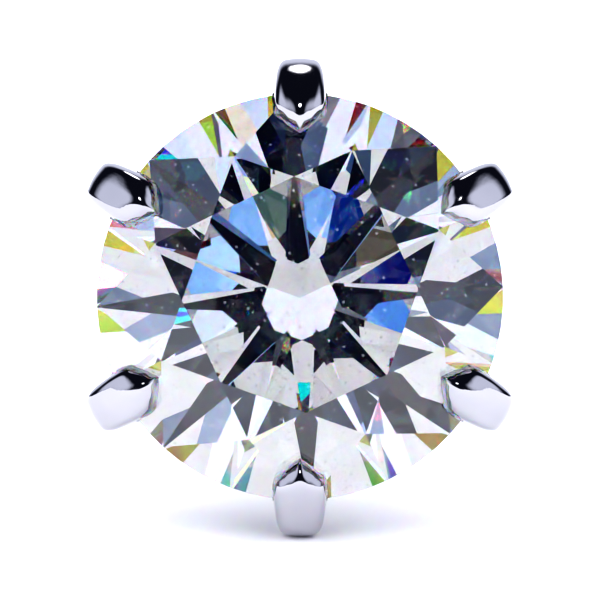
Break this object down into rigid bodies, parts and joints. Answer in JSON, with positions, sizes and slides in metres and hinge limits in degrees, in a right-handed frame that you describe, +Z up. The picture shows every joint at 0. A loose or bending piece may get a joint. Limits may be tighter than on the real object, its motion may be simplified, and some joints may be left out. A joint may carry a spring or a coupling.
{
  "type": "stud earring",
  "caption": "Round brilliant-cut stone held by pointed claws in an open white-metal basket, on a straight post with a curled ear nut.",
  "frame": {"origin": "on the surface that the earring lies on, below the middle of its box", "axes": "+Z up; the stone faces -Y and a little up; the post runs towards +Y and a little down; +X to the right of the stone as it is looked at"},
  "size_m": [0.0068, 0.016, 0.0076],
  "materials": {
    "stone": "clear, faceted and polished",
    "white_metal": "rhodium-white, mirror polished"
  },
  "bodies": {
    "root": {"stone": "stone", "setting": "white_metal", "ear_nut": "white_metal"}
  },
  "joints": []
}
